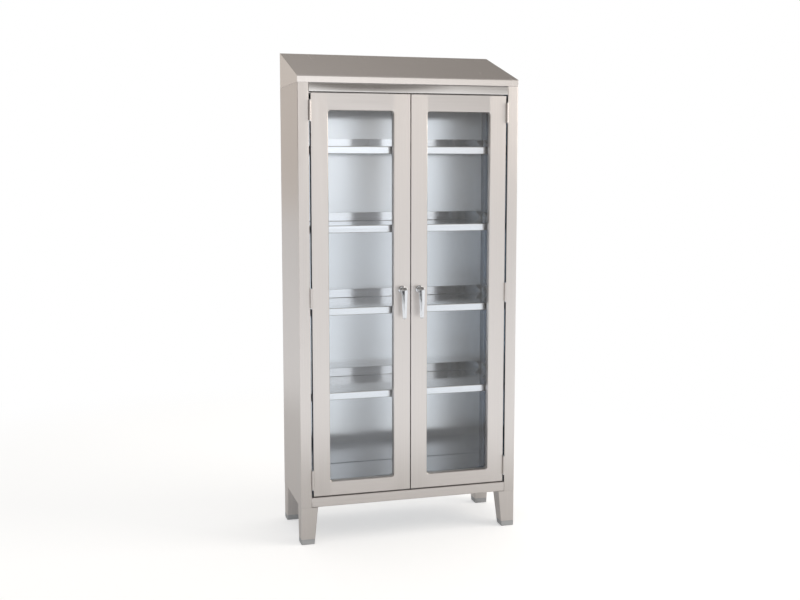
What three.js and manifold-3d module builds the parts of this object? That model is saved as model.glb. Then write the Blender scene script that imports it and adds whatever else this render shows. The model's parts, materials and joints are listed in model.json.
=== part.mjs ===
// Two-door glass medical cabinet in brushed stainless sheet: a sloped hood, four legs, four shelves,
// butt-hinged glazed doors and a turning lever on each door that drives a pair of latch rods.
import * as THREE from 'three';
import { mergeVertices } from 'three/addons/utils/BufferGeometryUtils.js';
import Module from 'manifold-3d';

const wasm = await Module();
wasm.setup();

// All sizes are in millimetres. X runs to the right, Y from the front to the back, Z up from the floor.
// Overall
const cabinetWidth = 914;
const cabinetDepth = 381;
const frontHeight = 1867;
const hoodRise = 119;
const hoodLip = 26;
const legHeight = 152;

// Sheet work
const sheet = 1.5;
const backSheet = 1.2;
const bendRadius = 2;
const bendSteps = 3;
const fit = 0.3;
const cutThrough = 2;

// Front frame
const stileWidth = 45;
const headerHeight = 35;
const railHeight = 40.5;
const frameReturn = 25;
const rearFlange = 20;
const stopLip = 12;
const stopGap = 2;

// Legs
const legTopWidth = 70;
const legBottomWidth = 55;
const legWall = 2.5;
const tipHeight = 22;
const tipPlug = 16;
const tenonHeight = 20;
const tenonReach = 38;
const tenonThickness = 3;

// Deck and shelves
const deckRise = 27;
const deckFlange = 14;
const shelfTops = [607, 952, 1283, 1597];
const shelfSetback = 12;
const shelfLip = 30;
const shelfLipReturn = 12;
const shelfUpstand = 36;
const shelfRearGap = 0.6;

// Shelf standards and their clips
const standardWidth = 16;
const standardThickness = 4;
const standardInset = 50;
const standardFoot = 8;
const standardHead = 60;
const clipReach = 20;
const clipWidth = 10;
const clipDrop = 24;
const clipNose = 3;

// Doors
const hingeGap = 7.5;
const meetingGap = 3.5;
const doorTopGap = 4;
const doorBottomGap = 4;
const doorDepth = 28;
const doorSheet = 1.2;
const doorStile = 69;
const doorTopRail = 67;
const doorBottomRail = 58;
const openingRadius = 10;
const cornerSteps = 5;

// Glazing
const glassThickness = 5;
const glassBite = 8;
const gasketLip = 2;
const gasketWeb = 3;
const gasketSetback = 0.5;

// Butt hinges, three to a door
const hingeHeight = 76;
const hingeFromEnd = 69;
const knuckleRadius = 5;
const knuckleCount = 5;
const knuckleGap = 0.4;
const pinRadius = 2;
const pinPlay = 0.2;
const pinHeadRadius = 3.6;
const pinHeadHeight = 3;
const leafThickness = 1.4;
const leafDepth = 24;
const roundSides = 16;

// Lever handles
const handleHeight = 1023;
const roseRadius = 16;
const roseThickness = 5;
const hubRadius = 10;
const leverStandoff = 32;
const leverThickness = 11;
const leverHeadRadius = 13;
const leverEndRadius = 8;
const leverLength = 108;
const leverRound = 3.5;
const leverRoundSteps = 3;
const spindleSide = 8;
const spindlePlay = 0.6;

// Latch inside each meeting stile
const camGap = 2.8;
const camThickness = 3;
const camRadius = 15;
const crankRadius = 10;
const crankStart = Math.PI / 4;
const crankPinRadius = 2.5;
const crankPinLength = 6;
const rodWidth = 8;
const rodThickness = 3;
const rodPlay = 0.6;
const yokeWall = 2.5;

// Twin magnetic catch under the header
const catchWidth = 70;
const catchHeight = 15;
const catchDepth = 14;
const catchPlate = 2;

// Planes and edges that follow from the sizes above
const halfWidth = cabinetWidth / 2;
const openingHalf = halfWidth - stileWidth;
const bodyTop = frontHeight - hoodLip;
const railTop = legHeight + railHeight;
const deckTop = railTop + deckRise;
const headerBottom = bodyTop - headerHeight;
const backFace = cabinetDepth - backSheet;
const flangeFace = backFace - fit;
const rearClear = flangeFace - sheet - fit;
const sideClear = halfWidth - sheet - fit;
const doorBack = doorDepth + fit + doorSheet;
const stopFace = doorBack + stopGap;
const shelfFront = stopFace + shelfSetback;

const hingeEdge = openingHalf - hingeGap;
const meetingEdge = meetingGap / 2;
const doorBottom = railTop + doorBottomGap;
const doorTop = headerBottom - doorTopGap;
const gasketDepth = glassThickness + 2 * fit + 2 * gasketLip;
const glassLedge = doorDepth - gasketDepth - fit;

const hingeAxisX = openingHalf - hingeGap / 2;
const hingeAxisY = -(knuckleRadius + fit);
const boreRadius = pinRadius + pinPlay;

const handleX = meetingEdge + doorStile / 2;
const handleReach = leverStandoff + leverThickness;
const camFace = doorSheet + camGap;
const camBack = camFace + camThickness;
const rodFace = camBack + rodPlay;
const rodOffset = crankRadius * (1 + Math.cos(crankStart)) / 2;
const crankSide = crankRadius * Math.cos(crankStart);
const crankDrop = crankRadius * Math.sin(crankStart);

const sides = [['left', -1], ['right', 1]];
const axisX = new THREE.Vector3(1, 0, 0);
const axisY = new THREE.Vector3(0, 1, 0);
const axisZ = new THREE.Vector3(0, 0, 1);

// Solids for joining and cutting
function toSolid(geometry) {
  geometry.deleteAttribute('normal');
  geometry.deleteAttribute('uv');
  const merged = mergeVertices(geometry);
  const vertProperties = new Float32Array(merged.attributes.position.array);
  const triVerts = new Uint32Array(merged.index.array);
  return new wasm.Manifold(new wasm.Mesh({ numProp: 3, vertProperties, triVerts }));
}

function toGeometry(solid) {
  const mesh = solid.getMesh();
  const geometry = new THREE.BufferGeometry();
  geometry.setAttribute('position', new THREE.BufferAttribute(mesh.vertProperties, 3));
  geometry.setIndex(new THREE.BufferAttribute(mesh.triVerts, 1));
  geometry.computeVertexNormals();
  return geometry;
}

// Outlines
function point(x, y) {
  return new THREE.Vector2(x, y);
}

function outline(points) {
  return new THREE.Shape(points);
}

function rectangle(xA, yA, xB, yB) {
  return outline([point(xA, yA), point(xB, yA), point(xB, yB), point(xA, yB)]);
}

function arcPoints(x, y, radius, from, to, steps) {
  const points = [];
  for (let i = 0; i <= steps; i += 1) {
    const angle = from + (to - from) * i / steps;
    points.push(point(x + radius * Math.cos(angle), y + radius * Math.sin(angle)));
  }
  return points;
}

function circle(x, y, radius) {
  const oneStep = 2 * Math.PI / roundSides;
  return outline(arcPoints(x, y, radius, 0, 2 * Math.PI - oneStep, roundSides - 1));
}

function roundedRectangle(xA, yA, xB, yB, radius) {
  const left = Math.min(xA, xB) + radius;
  const right = Math.max(xA, xB) - radius;
  const quarter = Math.PI / 2;
  const corners = [[right, yB - radius], [left, yB - radius], [left, yA + radius], [right, yA + radius]];
  return outline(corners.flatMap(([x, y], i) =>
    arcPoints(x, y, radius, quarter * i, quarter * (i + 1), cornerSteps)));
}

// The two faces of a folded sheet whose metal lies to the left of the path
function foldedFaces(path, thickness) {
  const origin = point(0, 0);
  const near = [];
  const far = [];
  path.forEach((corner, i) => {
    const before = path[i - 1] ?? corner.clone().multiplyScalar(2).sub(path[i + 1]);
    const after = path[i + 1] ?? corner.clone().multiplyScalar(2).sub(path[i - 1]);
    const arriving = corner.clone().sub(before).normalize();
    const leaving = after.clone().sub(corner).normalize();
    const left = point(-arriving.y, arriving.x);
    if (i === 0 || i === path.length - 1) {
      near.push(corner.clone());
      far.push(corner.clone().addScaledVector(left, thickness));
      return;
    }
    const turn = Math.atan2(arriving.cross(leaving), arriving.dot(leaving));
    const side = Math.sign(turn);
    const nearRadius = side > 0 ? bendRadius + thickness : bendRadius;
    const farRadius = nearRadius - side * thickness;
    const setback = nearRadius * Math.tan(Math.abs(turn) / 2);
    const centre = corner.clone()
      .addScaledVector(arriving, -setback)
      .addScaledVector(left, side * nearRadius);
    for (let k = 0; k <= bendSteps; k += 1) {
      const spoke = left.clone().multiplyScalar(-side).rotateAround(origin, turn * k / bendSteps);
      near.push(centre.clone().addScaledVector(spoke, nearRadius));
      far.push(centre.clone().addScaledVector(spoke, farRadius));
    }
  });
  return { near, far };
}

function foldedSheet(path, thickness) {
  const { near, far } = foldedFaces(path, thickness);
  return outline(near.concat(far.reverse()));
}

// Prisms: an outline in Y and Z run along X, in X and Z run along Y, or in X and Y run along Z
function prism(shape, depth, basis, place) {
  const geometry = new THREE.ExtrudeGeometry(shape, { depth, bevelEnabled: false });
  geometry.applyMatrix4(basis);
  geometry.translate(place.x, place.y, place.z);
  return toSolid(geometry);
}

function prismX(shape, from, to) {
  const basis = new THREE.Matrix4().makeBasis(axisY, axisZ, axisX);
  return prism(shape, to - from, basis, new THREE.Vector3(from, 0, 0));
}

function prismY(shape, from, to) {
  const basis = new THREE.Matrix4().makeBasis(axisX, axisZ, axisY.clone().negate());
  return prism(shape, to - from, basis, new THREE.Vector3(0, to, 0));
}

function prismZ(shape, from, to) {
  return prism(shape, to - from, new THREE.Matrix4(), new THREE.Vector3(0, 0, from));
}

function block(xA, xB, yA, yB, zA, zB) {
  const geometry = new THREE.BoxGeometry(Math.abs(xB - xA), yB - yA, zB - zA);
  geometry.translate((xA + xB) / 2, (yA + yB) / 2, (zA + zB) / 2);
  return toSolid(geometry);
}

function cylinderY(x, z, radius, from, to) {
  return prismY(circle(x, z, radius), from, to);
}

// Materials
function finish(color, roughness, metalness) {
  return () => new THREE.MeshStandardMaterial({ color, roughness, metalness });
}

const brushedStainless = finish(0xcdc8c1, 0.35, 1);
const polishedStainless = finish(0xd5d8da, 0.15, 1);
const chromePlate = finish(0xe6e8ec, 0.06, 1);
const zincPlate = finish(0xb4b8bb, 0.4, 1);
const greyRubber = finish(0x8b8d8f, 0.8, 0);
const glazingRubber = finish(0xb9bcbe, 0.6, 0);
const magnetCase = finish(0x4a4c50, 0.6, 0);

function clearGlass() {
  return new THREE.MeshStandardMaterial({
    color: 0xdfe9ea, roughness: 0.03, metalness: 0, transparent: true, opacity: 0.25,
  });
}

const cabinet = new THREE.Group();
cabinet.name = 'glass_door_medical_cabinet';
cabinet.position.y = -(cabinetDepth - handleReach) / 2;

function addPiece(name, solid, material) {
  const mesh = new THREE.Mesh(toGeometry(solid), material());
  mesh.name = name;
  cabinet.add(mesh);
}

// Carcass: each side panel folds round to make the front stile, the door jamb and a rear flange
function sidePanel(side) {
  const path = [
    point(openingHalf, stopFace), point(openingHalf, 0), point(halfWidth, 0),
    point(halfWidth, flangeFace), point(halfWidth - rearFlange, flangeFace),
  ];
  const { near, far } = foldedFaces(path, sheet);
  const points = near.concat(far.reverse()).map((p) => point(side * p.x, p.y));
  return prismZ(outline(points), legHeight, bodyTop);
}

function backPanel() {
  return block(-halfWidth, halfWidth, backFace, cabinetDepth, legHeight, bodyTop);
}

function slopedHood() {
  const seat = bodyTop + fit;
  const path = [
    point(cabinetDepth, seat), point(cabinetDepth, frontHeight + hoodRise),
    point(0, frontHeight), point(0, seat),
  ];
  const { near, far } = foldedFaces(path, sheet);
  const inside = [point(cabinetDepth - sheet, bodyTop), ...far, point(sheet, bodyTop)];
  return prismX(outline(near), -halfWidth, halfWidth)
    .subtract(prismX(outline(inside), -halfWidth + sheet, halfWidth - sheet));
}

// A hole for a latch rod through a level sheet, with room all round the rod
function rodHole(side, end, zA, zB, play) {
  const x = side * (handleX + end * rodOffset);
  const reach = rodWidth / 2 + play;
  return block(x - reach, x + reach, rodFace - play, rodFace + rodThickness + play, zA, zB);
}

function headerRail() {
  const path = [
    point(frameReturn, bodyTop), point(0, bodyTop), point(0, headerBottom),
    point(stopFace, headerBottom), point(stopFace, headerBottom - stopLip),
  ];
  const reach = openingHalf - fit;
  let solid = prismX(foldedSheet(path, sheet), -reach, reach);
  for (const [, side] of sides) {
    solid = solid.subtract(
      rodHole(side, 1, headerBottom - cutThrough, headerBottom + sheet + cutThrough, 2 * rodPlay));
  }
  return solid;
}

function bottomRail() {
  const path = [
    point(stopFace, railTop), point(0, railTop), point(0, legHeight), point(frameReturn, legHeight),
  ];
  const reach = openingHalf - fit;
  let solid = prismX(foldedSheet(path, sheet), -reach, reach);
  for (const [, side] of sides) {
    solid = solid.subtract(
      rodHole(side, -1, railTop - sheet - cutThrough, railTop + cutThrough, 2 * rodPlay));
  }
  return solid;
}

// The deck stands above the bottom rail, and its front flange drops behind the rail to stop the doors
function bottomDeck() {
  const front = stopFace + fit;
  const rear = rearClear - bendRadius;
  const path = [
    point(rear, deckTop - deckFlange), point(rear, deckTop),
    point(front, deckTop), point(front, railTop - deckFlange),
  ];
  return prismX(foldedSheet(path, sheet), -sideClear, sideClear);
}

// Legs: upright outer faces in line with the body, inner faces that taper towards the floor
function legWidth(z) {
  return legBottomWidth + (legTopWidth - legBottomWidth) * z / legHeight;
}

function legBlock(side, rear, zA, zB, inset) {
  const across = outline([
    point(side * (halfWidth - inset), zA), point(side * (halfWidth - inset), zB),
    point(side * (halfWidth - legWidth(zB) + inset), zB),
    point(side * (halfWidth - legWidth(zA) + inset), zA),
  ]);
  const fromFront = (y) => (rear ? cabinetDepth - y : y);
  const along = outline([
    point(fromFront(inset), zA), point(fromFront(inset), zB),
    point(fromFront(legWidth(zB) - inset), zB), point(fromFront(legWidth(zA) - inset), zA),
  ]);
  return prismY(across, -cutThrough, cabinetDepth + cutThrough)
    .intersect(prismX(along, -halfWidth - cutThrough, halfWidth + cutThrough));
}

// The tenon is an angle that stands up inside the corner of the body, clear of the fold there
function legTenon(side, rear) {
  const foot = legHeight - tenonHeight;
  const head = legHeight + tenonHeight;
  const faceY = rear ? rearClear : sheet + fit;
  const inward = rear ? -1 : 1;
  const span = (a, b) => [Math.min(a, b), Math.max(a, b)];
  const outerX = side * sideClear;
  const plate = block(outerX - side * bendRadius, outerX - side * tenonReach,
    ...span(faceY, faceY + inward * tenonThickness), foot, head);
  const cheek = block(outerX, outerX - side * tenonThickness,
    ...span(faceY + inward * bendRadius, faceY + inward * tenonReach), foot, head);
  return plate.add(cheek);
}

function leg(side, rear) {
  return legBlock(side, rear, tipHeight + fit, legHeight - fit, 0)
    .subtract(legBlock(side, rear, 0, legHeight + cutThrough, legWall))
    .add(legTenon(side, rear));
}

function legTip(side, rear) {
  return legBlock(side, rear, 0, tipHeight, 0)
    .add(legBlock(side, rear, tipHeight - fit, tipHeight + tipPlug, legWall + fit));
}

// Shelves on clips that hook into upright standards
function shelf(top) {
  const rear = rearClear - shelfRearGap - sheet;
  const reach = sideClear - standardThickness - fit;
  const path = [
    point(rear, top + shelfUpstand), point(rear, top), point(shelfFront, top),
    point(shelfFront, top - shelfLip), point(shelfFront + shelfLipReturn, top - shelfLip),
  ];
  return prismX(foldedSheet(path, sheet), -reach, reach);
}

function standardWithClips(side, y) {
  const outer = side * sideClear;
  const inner = outer - side * standardThickness;
  const edgeA = y - standardWidth / 2;
  let solid = block(outer, inner, edgeA, edgeA + standardWidth,
    deckTop + standardFoot, bodyTop - standardHead);
  for (const top of shelfTops) {
    const seat = top - sheet - fit;
    const root = inner + side * standardThickness / 2;
    const tip = inner - side * clipReach;
    const gusset = outline([
      point(root, seat), point(tip, seat), point(tip, seat - clipNose), point(root, seat - clipDrop),
    ]);
    solid = solid.add(prismY(gusset, y - clipWidth / 2, y + clipWidth / 2));
  }
  return solid;
}

// Doors: a folded pan round the opening, glass in a rubber channel, and a liner that closes the back
function doorOutline(side, inset) {
  return rectangle(side * (meetingEdge + inset), doorBottom + inset,
    side * (hingeEdge - inset), doorTop - inset);
}

function openingOutline(side, grow) {
  return roundedRectangle(
    side * (meetingEdge + doorStile - grow), doorBottom + doorBottomRail - grow,
    side * (hingeEdge - doorStile + grow), doorTop - doorTopRail + grow, openingRadius + grow);
}

function doorFrame(side) {
  const back = doorDepth + cutThrough;
  const channel = prismY(doorOutline(side, doorSheet), doorSheet, back)
    .subtract(prismY(openingOutline(side, doorSheet), 0, back + cutThrough));
  const rebate = prismY(openingOutline(side, 2 * doorSheet), glassLedge, back);
  const spindleHole = cylinderY(side * handleX, handleHeight, spindleSide,
    -cutThrough, doorSheet + cutThrough);
  return prismY(doorOutline(side, 0), 0, doorDepth)
    .subtract(prismY(openingOutline(side, 0), -cutThrough, back))
    .subtract(channel)
    .subtract(rebate)
    .subtract(spindleHole)
    .subtract(rodHole(side, 1, doorTop - doorSheet - cutThrough, doorTop + cutThrough, rodPlay))
    .subtract(rodHole(side, -1, doorBottom - cutThrough, doorBottom + doorSheet + cutThrough, rodPlay));
}

function doorLiner(side) {
  return prismY(doorOutline(side, 0), doorDepth + fit, doorBack)
    .subtract(prismY(openingOutline(side, 0), doorDepth - cutThrough, doorBack + cutThrough));
}

function doorGasket(side) {
  const front = glassLedge + fit;
  const back = front + gasketDepth - fit;
  const groove = prismY(openingOutline(side, glassBite + fit), front + gasketLip, back - gasketLip + fit);
  return prismY(openingOutline(side, glassBite + fit + gasketWeb), front, back)
    .subtract(prismY(openingOutline(side, gasketSetback), front - cutThrough, back + cutThrough))
    .subtract(groove);
}

function doorGlass(side) {
  const face = glassLedge + fit + gasketLip + fit;
  return prismY(openingOutline(side, glassBite), face, face + glassThickness);
}

// Butt hinges: odd knuckles belong to the frame leaf, even ones to the door leaf
function knuckleSpan(centre, index) {
  const length = (hingeHeight - (knuckleCount - 1) * knuckleGap) / knuckleCount;
  const from = centre - hingeHeight / 2 + index * (length + knuckleGap);
  return [from, from + length];
}

function hingeLeaf(side, centre, onDoor) {
  const near = onDoor ? hingeEdge + fit : openingHalf - fit - leafThickness;
  const far = near + leafThickness;
  const knuckleWall = (boreRadius + knuckleRadius) / 2;
  let solid = block(side * near, side * far, 0, leafDepth,
    centre - hingeHeight / 2, centre + hingeHeight / 2);
  const barrel = circle(side * hingeAxisX, hingeAxisY, knuckleRadius);
  const bore = circle(side * hingeAxisX, hingeAxisY, boreRadius);
  for (let index = onDoor ? 1 : 0; index < knuckleCount; index += 2) {
    const [from, to] = knuckleSpan(centre, index);
    const web = block(side * near, side * far, hingeAxisY + knuckleWall, leafThickness, from, to);
    const ring = prismZ(barrel, from, to).subtract(prismZ(bore, from - cutThrough, to + cutThrough));
    solid = solid.add(web).add(ring);
  }
  return solid;
}

function hingePin(side, centre) {
  const end = hingeHeight / 2 + fit;
  const profile = [
    point(0, -end - pinHeadHeight), point(pinHeadRadius, -end - pinHeadHeight), point(pinHeadRadius, -end),
    point(pinRadius, -end), point(pinRadius, end), point(pinHeadRadius, end),
    point(pinHeadRadius, end + pinHeadHeight), point(0, end + pinHeadHeight),
  ];
  const geometry = new THREE.LatheGeometry(profile, roundSides);
  geometry.rotateX(Math.PI / 2);
  geometry.translate(side * hingeAxisX, hingeAxisY, centre);
  return toSolid(geometry);
}

// Lever handles
function handleRose(side) {
  return cylinderY(side * handleX, handleHeight, roseRadius, -fit - roseThickness, -fit)
    .subtract(cylinderY(side * handleX, handleHeight, spindleSide, -roseThickness - cutThrough, cutThrough));
}

function leverArm(side) {
  const spread = Math.acos((leverHeadRadius - leverEndRadius) / leverLength);
  const down = -Math.PI / 2;
  const head = arcPoints(0, 0, leverHeadRadius, down + spread, down + 2 * Math.PI - spread, roundSides);
  const end = arcPoints(0, -leverLength, leverEndRadius, down - spread, down + spread, roundSides / 2);
  const geometry = new THREE.ExtrudeGeometry(outline(head.concat(end)), {
    depth: leverThickness - 2 * leverRound,
    bevelThickness: leverRound,
    bevelSize: leverRound,
    bevelOffset: -leverRound,
    bevelSegments: leverRoundSteps,
  });
  geometry.applyMatrix4(new THREE.Matrix4().makeBasis(axisX, axisZ, axisY.clone().negate()));
  geometry.translate(side * handleX, -leverStandoff - leverRound, handleHeight);
  return toSolid(geometry);
}

function handleLever(side) {
  const x = side * handleX;
  const half = spindleSide / 2;
  const hubBack = -roseThickness - 2 * fit;
  const root = -leverStandoff - leverThickness / 2;
  return leverArm(side)
    .add(cylinderY(x, handleHeight, hubRadius, root, hubBack))
    .add(block(x - half, x + half, root, camBack, handleHeight - half, handleHeight + half));
}

function latchCam(side) {
  const x = side * handleX;
  const half = (spindleSide + spindlePlay) / 2;
  const pinBack = camBack + crankPinLength;
  const pinAt = (end) => cylinderY(
    x + side * end * crankSide, handleHeight - end * crankDrop, crankPinRadius, camFace, pinBack);
  return cylinderY(x, handleHeight, camRadius, camFace, camBack)
    .add(pinAt(1))
    .add(pinAt(-1))
    .subtract(block(x - half, x + half, camFace - cutThrough, camBack + cutThrough,
      handleHeight - half, handleHeight + half));
}

// End +1 is the rod that rises into the header, end -1 the one that drops into the bottom rail
function latchRod(side, end) {
  const x = side * (handleX + end * rodOffset);
  const z = handleHeight - end * crankDrop;
  const back = rodFace + rodThickness;
  const slotHigh = crankPinRadius + rodPlay;
  const slotWide = (crankRadius - crankSide) / 2 + slotHigh;
  const yoke = block(x - slotWide - yokeWall, x + slotWide + yokeWall, rodFace, back,
    z - slotHigh - yokeWall, z + slotHigh + yokeWall);
  const slot = block(x - slotWide, x + slotWide, rodFace - cutThrough, back + cutThrough,
    z - slotHigh, z + slotHigh);
  const root = z + end * (slotHigh + yokeWall / 2);
  const tip = end > 0 ? doorTop - fit : doorBottom + fit;
  const bar = block(x - rodWidth / 2, x + rodWidth / 2, rodFace, back,
    Math.min(root, tip), Math.max(root, tip));
  return yoke.add(bar).subtract(slot);
}

function magneticCatch() {
  const front = doorBack + fit;
  const top = headerBottom - stopLip - fit;
  const plateFront = stopFace + sheet + fit;
  const reach = catchWidth / 2;
  return block(-reach, reach, front, front + catchDepth, top - catchHeight, top)
    .add(block(-reach, reach, plateFront, plateFront + catchPlate, top - catchHeight, headerBottom - fit));
}

// Assembly
for (const [name, side] of sides) {
  addPiece(`${name}_side_panel`, sidePanel(side), brushedStainless);
}
addPiece('back_panel', backPanel(), polishedStainless);
addPiece('sloped_hood', slopedHood(), brushedStainless);
addPiece('header_rail', headerRail(), brushedStainless);
addPiece('bottom_rail', bottomRail(), brushedStainless);
addPiece('bottom_deck', bottomDeck(), polishedStainless);
addPiece('magnetic_catch', magneticCatch(), magnetCase);

for (const [end, rear] of [['front', false], ['rear', true]]) {
  for (const [name, side] of sides) {
    addPiece(`${end}_${name}_leg`, leg(side, rear), brushedStainless);
    addPiece(`${end}_${name}_leg_tip`, legTip(side, rear), greyRubber);
    const standardY = rear ? rearClear - standardInset : shelfFront + standardInset;
    addPiece(`${end}_${name}_shelf_standard`, standardWithClips(side, standardY), zincPlate);
  }
}

shelfTops.forEach((top, i) => addPiece(`shelf_${i + 1}`, shelf(top), polishedStainless));

const hingeCentres = [
  ['bottom', doorBottom + hingeFromEnd],
  ['middle', (doorBottom + doorTop) / 2],
  ['top', doorTop - hingeFromEnd],
];

for (const [name, side] of sides) {
  addPiece(`${name}_door_frame`, doorFrame(side), brushedStainless);
  addPiece(`${name}_door_liner`, doorLiner(side), brushedStainless);
  addPiece(`${name}_door_gasket`, doorGasket(side), glazingRubber);
  addPiece(`${name}_door_glass`, doorGlass(side), clearGlass);
  for (const [place, centre] of hingeCentres) {
    addPiece(`${name}_${place}_hinge_frame_leaf`, hingeLeaf(side, centre, false), brushedStainless);
    addPiece(`${name}_${place}_hinge_door_leaf`, hingeLeaf(side, centre, true), brushedStainless);
    addPiece(`${name}_${place}_hinge_pin`, hingePin(side, centre), polishedStainless);
  }
  addPiece(`${name}_handle_rose`, handleRose(side), chromePlate);
  addPiece(`${name}_handle_lever`, handleLever(side), chromePlate);
  addPiece(`${name}_latch_cam`, latchCam(side), zincPlate);
  addPiece(`${name}_upper_latch_rod`, latchRod(side, 1), zincPlate);
  addPiece(`${name}_lower_latch_rod`, latchRod(side, -1), zincPlate);
}

export default cabinet;
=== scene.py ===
import json
import math
import bmesh
import bpy
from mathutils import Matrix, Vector


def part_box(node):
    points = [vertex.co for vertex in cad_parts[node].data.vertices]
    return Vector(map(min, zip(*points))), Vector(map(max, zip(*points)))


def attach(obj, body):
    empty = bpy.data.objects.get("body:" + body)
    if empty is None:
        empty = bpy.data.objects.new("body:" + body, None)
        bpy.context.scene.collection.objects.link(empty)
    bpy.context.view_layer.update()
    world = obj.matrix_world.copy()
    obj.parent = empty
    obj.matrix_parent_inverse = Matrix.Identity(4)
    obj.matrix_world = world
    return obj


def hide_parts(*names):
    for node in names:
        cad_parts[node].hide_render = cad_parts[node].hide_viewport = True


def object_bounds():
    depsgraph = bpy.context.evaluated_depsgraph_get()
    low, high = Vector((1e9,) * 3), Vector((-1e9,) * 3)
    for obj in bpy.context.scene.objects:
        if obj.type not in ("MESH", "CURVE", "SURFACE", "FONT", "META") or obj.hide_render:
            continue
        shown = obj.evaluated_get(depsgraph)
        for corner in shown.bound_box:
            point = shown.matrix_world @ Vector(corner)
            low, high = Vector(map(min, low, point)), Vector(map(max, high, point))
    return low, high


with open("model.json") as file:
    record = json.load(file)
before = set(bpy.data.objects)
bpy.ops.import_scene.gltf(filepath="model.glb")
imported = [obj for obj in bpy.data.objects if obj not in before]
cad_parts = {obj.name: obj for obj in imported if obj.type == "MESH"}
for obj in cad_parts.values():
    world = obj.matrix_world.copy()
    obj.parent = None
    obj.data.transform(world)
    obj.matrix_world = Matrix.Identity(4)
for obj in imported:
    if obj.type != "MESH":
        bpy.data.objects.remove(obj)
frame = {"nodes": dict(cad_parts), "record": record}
cadLow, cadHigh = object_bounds()
nodes = frame["nodes"]
slotOf = {part["node"]: part["material_slot"] for part in frame["record"]["subparts"]}
scene = bpy.context.scene
mm = 0.001
sides = (("left", -1), ("right", 1))
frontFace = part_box("left_side_panel")[0].y
print("frame loaded:", len(nodes), "nodes")

# Camera: the eye stands left of the cabinet, a little below the door tops, as in the photograph
cameraSet = {
    "place": (-1.2423, -4.3643, 1.53),
    "turnRight": 15.931,  # degrees
    "tiltDown": 6.116,
    "focal": 1090.2,  # in pixels of the frame
    "frameWidth": 800,
    "axisRise": 20,  # the lens's axis meets the picture this many pixels above its middle
    "sensor": 36,
}


def addCamera(s):
    data = bpy.data.cameras.new("camera")
    data.sensor_width = s["sensor"]
    data.lens = s["focal"] / s["frameWidth"] * s["sensor"]
    data.shift_y = -s["axisRise"] / s["frameWidth"]
    camera = bpy.data.objects.new("camera", data)
    scene.collection.objects.link(camera)
    camera.location = s["place"]
    camera.rotation_euler = (math.radians(90 - s["tiltDown"]), 0, math.radians(-s["turnRight"]))
    scene.camera = camera


addCamera(cameraSet)
scene.view_settings.view_transform = "Standard"
print("camera placed")


# Material helpers
def toLinear(hexColour):
    channels = [int(hexColour[i:i + 2], 16) / 255 for i in (1, 3, 5)]
    linear = [c / 12.92 if c <= 0.04045 else ((c + 0.055) / 1.055) ** 2.4 for c in channels]
    return (*linear, 1)


def addNode(tree, kind, inputs=None, **settings):
    node = tree.nodes.new(kind)
    for name, value in settings.items():
        setattr(node, name, value)
    for socket, value in (inputs or {}).items():
        if isinstance(value, bpy.types.NodeSocket):
            tree.links.new(value, node.inputs[socket])
        else:
            node.inputs[socket].default_value = value
    return node


def startMaterial(name):
    material = bpy.data.materials.new(name)
    material.use_nodes = True
    material.node_tree.nodes.clear()
    return material, material.node_tree


# Stainless sheet, belt brushed one way after rolling: fine lines along the grain, a reflection
# that spreads across it, and slow waves where thin sheet is never quite flat.
brushedSet = {
    "pale": "#e9e4e1",
    "deep": "#dcd7d4",
    "lineWidth": 5 * mm,  # the belt leaves lines about 0.2 mm wide, drawn coarser so that they show
    "lineLength": 480 * mm,
    "waveLength": 300 * mm,
    "waveHeight": 0.25 * mm,
    "lineHeight": 0.03 * mm,
    "smooth": 0.27,
    "rough": 0.40,
    "anisotropy": 0.75,
    "spreadTurn": 0.25,  # of a turn, from along the grain to across it
}
hoodSet = brushedSet | {"smooth": 0.22, "rough": 0.28, "lineHeight": 0.008 * mm}
headerSet = brushedSet | {"pale": "#e9e7e6", "deep": "#dcdad9", "smooth": 0.16, "rough": 0.24}
sideSet = brushedSet | {"anisotropy": 0.85}
backSet = brushedSet | {"anisotropy": 1}


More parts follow.
